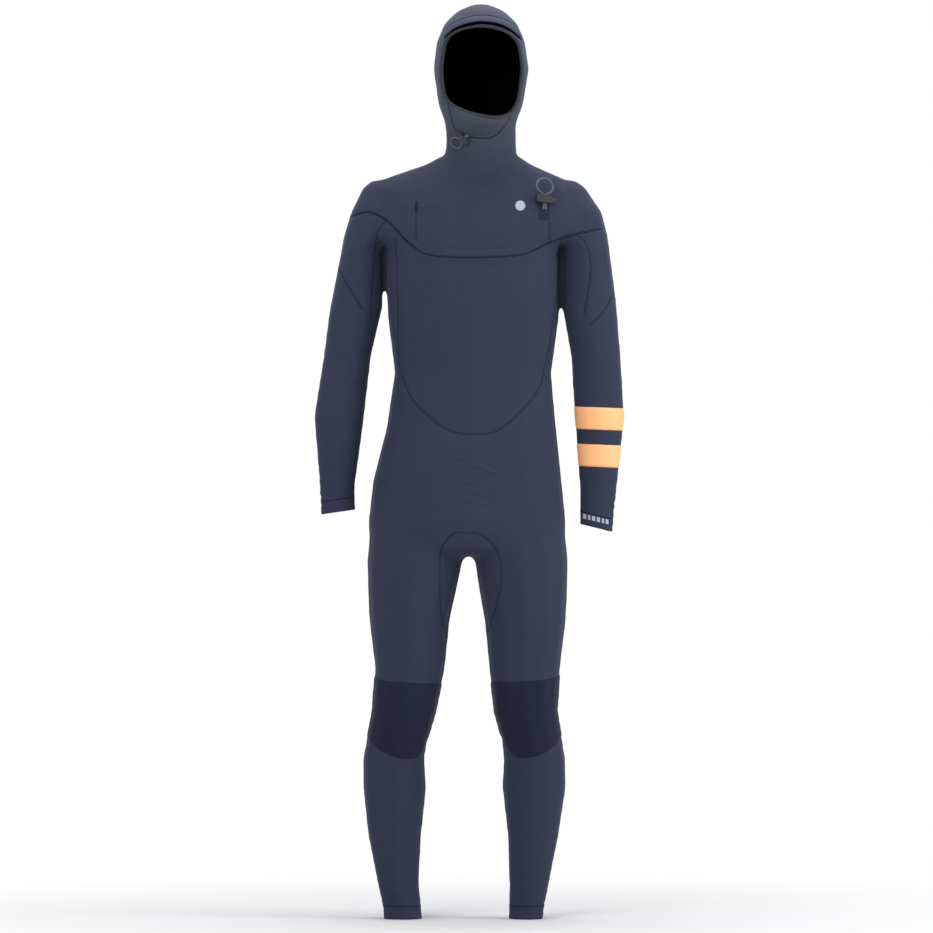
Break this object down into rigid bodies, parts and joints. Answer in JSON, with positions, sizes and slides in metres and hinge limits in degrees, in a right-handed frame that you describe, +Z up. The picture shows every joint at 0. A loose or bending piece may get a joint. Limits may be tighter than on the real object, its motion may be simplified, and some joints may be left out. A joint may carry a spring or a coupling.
{
  "type": "hooded full wetsuit",
  "caption": "Full-length hooded neoprene wetsuit with chest zip, knee pads, sealed seams, toggled hood and two orange forearm bands.",
  "frame": {"origin": "midway between the shoulders at the neck base, where the wearer's shoulders hold the suit up", "axes": "+Z up along the standing wearer, -Y out of the chest, +X to the wearer's left"},
  "size_m": [0.5861, 0.2471, 1.721],
  "materials": {
    "jersey": "matt knitted nylon jersey laminated on neoprene",
    "hood_jersey": "matt knitted jersey, slightly greyer than the body",
    "knee_rubber": "matt abrasion print with a fine raised texture",
    "smooth_rubber": "smooth skin rubber, satin",
    "seam_seal": "satin liquid seam seal",
    "orange_print": "matt flexible print with faint streaks",
    "white_print": "matt flexible print",
    "lock_plastic": "moulded acetal",
    "spring_steel": "drawn wire",
    "cord_elastic": "braided elastic cord",
    "zip_plastic": "moulded zip chain on woven tape"
  },
  "bodies": {
    "root": {"chest_bib": "jersey", "right_yoke": "jersey", "left_yoke": "jersey", "front_torso_panel": "jersey", "waist_panel": "jersey", "upper_back_panel": "jersey", "lower_back_panel": "jersey", "crotch_gusset": "jersey", "neck_panel": "jersey", "right_shoulder_panel": "jersey", "left_shoulder_panel": "jersey", "right_hip_panel": "jersey", "left_hip_panel": "jersey", "zip_tape_upper": "zip_plastic", "zip_tape_lower": "zip_plastic", "storm_flap": "seam_seal", "zip_backing": "jersey", "front_seam_tape": "seam_seal", "chest_badge": "white_print", "toggle_tab": "seam_seal", "collar_bungee": "cord_elastic", "collar_cord_lock": "lock_plastic", "collar_lock_spring": "spring_steel"},
    "hood": {"hood_front_panel": "hood_jersey", "hood_back_panel": "hood_jersey", "chin_panel": "hood_jersey", "forehead_brim": "smooth_rubber", "face_seal": "smooth_rubber", "chin_cord_lock": "lock_plastic", "chin_lock_spring": "spring_steel", "chin_bungee": "cord_elastic"},
    "right_upper_arm": {"right_upper_sleeve": "jersey", "right_elbow_panel": "jersey"},
    "left_upper_arm": {"left_upper_sleeve": "jersey", "left_elbow_panel": "jersey"},
    "right_forearm": {"right_forearm_panel": "jersey", "right_wrist_cuff": "jersey"},
    "left_forearm": {"left_forearm_panel": "jersey", "left_wrist_cuff": "jersey", "forearm_band_upper": "orange_print", "forearm_band_lower": "orange_print", "cuff_mark": "white_print"},
    "right_thigh": {"right_thigh_panel": "jersey", "right_knee_pad": "knee_rubber", "right_knee_back": "jersey"},
    "left_thigh": {"left_thigh_panel": "jersey", "left_knee_pad": "knee_rubber", "left_knee_back": "jersey"},
    "right_shin": {"right_shin_panel": "jersey", "right_ankle_cuff": "jersey"},
    "left_shin": {"left_shin_panel": "jersey", "left_ankle_cuff": "jersey"},
    "zip_slider": {"zip_slider": "lock_plastic"},
    "collar_plunger": {"collar_lock_plunger": "lock_plastic"},
    "chin_plunger": {"chin_lock_plunger": "lock_plastic"}
  },
  "joints": [
    {"name": "hood_nod", "type": "hinge", "parent": "root", "child": "hood", "pos_m": [0.002, 0.015, 0.055], "axis": [1, 0, 0], "range_deg": [-25, 25], "stiffness_Nm_per_rad": 8, "deforming": ["neck_panel"]},
    {"name": "right_shoulder_raise", "type": "hinge", "parent": "root", "child": "right_upper_arm", "pos_m": [-0.181, 0.005, -0.062], "axis": [0, 1, 0], "range_deg": [0, 90], "stiffness_Nm_per_rad": 3, "deforming": ["right_shoulder_panel"]},
    {"name": "left_shoulder_raise", "type": "hinge", "parent": "root", "child": "left_upper_arm", "pos_m": [0.175, 0.005, -0.062], "axis": [0, -1, 0], "range_deg": [0, 90], "stiffness_Nm_per_rad": 3, "deforming": ["left_shoulder_panel"]},
    {"name": "right_elbow_bend", "type": "hinge", "parent": "right_upper_arm", "child": "right_forearm", "pos_m": [-0.253, 0.002, -0.37], "axis": [-1, 0, 0], "range_deg": [0, 95], "stiffness_Nm_per_rad": 1.5, "deforming": ["right_elbow_panel"]},
    {"name": "left_elbow_bend", "type": "hinge", "parent": "left_upper_arm", "child": "left_forearm", "pos_m": [0.221, 0.002, -0.37], "axis": [-1, 0, 0], "range_deg": [0, 95], "stiffness_Nm_per_rad": 1.5, "deforming": ["left_elbow_panel"]},
    {"name": "right_hip_bend", "type": "hinge", "parent": "root", "child": "right_thigh", "pos_m": [-0.118, 0, -0.65], "axis": [-1, 0, 0], "range_deg": [-15, 75], "stiffness_Nm_per_rad": 4, "deforming": ["right_hip_panel", "crotch_gusset"]},
    {"name": "left_hip_bend", "type": "hinge", "parent": "root", "child": "left_thigh", "pos_m": [0.077, 0, -0.65], "axis": [-1, 0, 0], "range_deg": [-15, 75], "stiffness_Nm_per_rad": 4, "deforming": ["left_hip_panel", "crotch_gusset"]},
    {"name": "right_knee_bend", "type": "hinge", "parent": "right_thigh", "child": "right_shin", "pos_m": [-0.143, 0, -1.02], "axis": [1, 0, 0], "range_deg": [0, 95], "stiffness_Nm_per_rad": 2, "deforming": ["right_knee_pad", "right_knee_back"]},
    {"name": "left_knee_bend", "type": "hinge", "parent": "left_thigh", "child": "left_shin", "pos_m": [0.088, 0, -1.02], "axis": [1, 0, 0], "range_deg": [0, 95], "stiffness_Nm_per_rad": 2, "deforming": ["left_knee_pad", "left_knee_back"]},
    {"name": "zip_slider_run", "type": "hinge", "parent": "root", "child": "zip_slider", "pos_m": [-0.012, 0.1844, -0.154], "axis": [0, 0, -1], "range_deg": [0, 31]},
    {"name": "collar_lock_press", "type": "slide", "parent": "root", "child": "collar_plunger", "axis": [-0.9518, -0.2764, 0.1331], "range_m": [0, 0.004], "stiffness_N_per_m": 500, "springref_m": -0.003, "deforming": ["collar_lock_spring"]},
    {"name": "chin_lock_press", "type": "slide", "parent": "hood", "child": "chin_plunger", "axis": [0.5832, 0.1009, -0.8061], "range_m": [0, 0.0028], "stiffness_N_per_m": 500, "springref_m": -0.002, "deforming": ["chin_lock_spring"]}
  ]
}
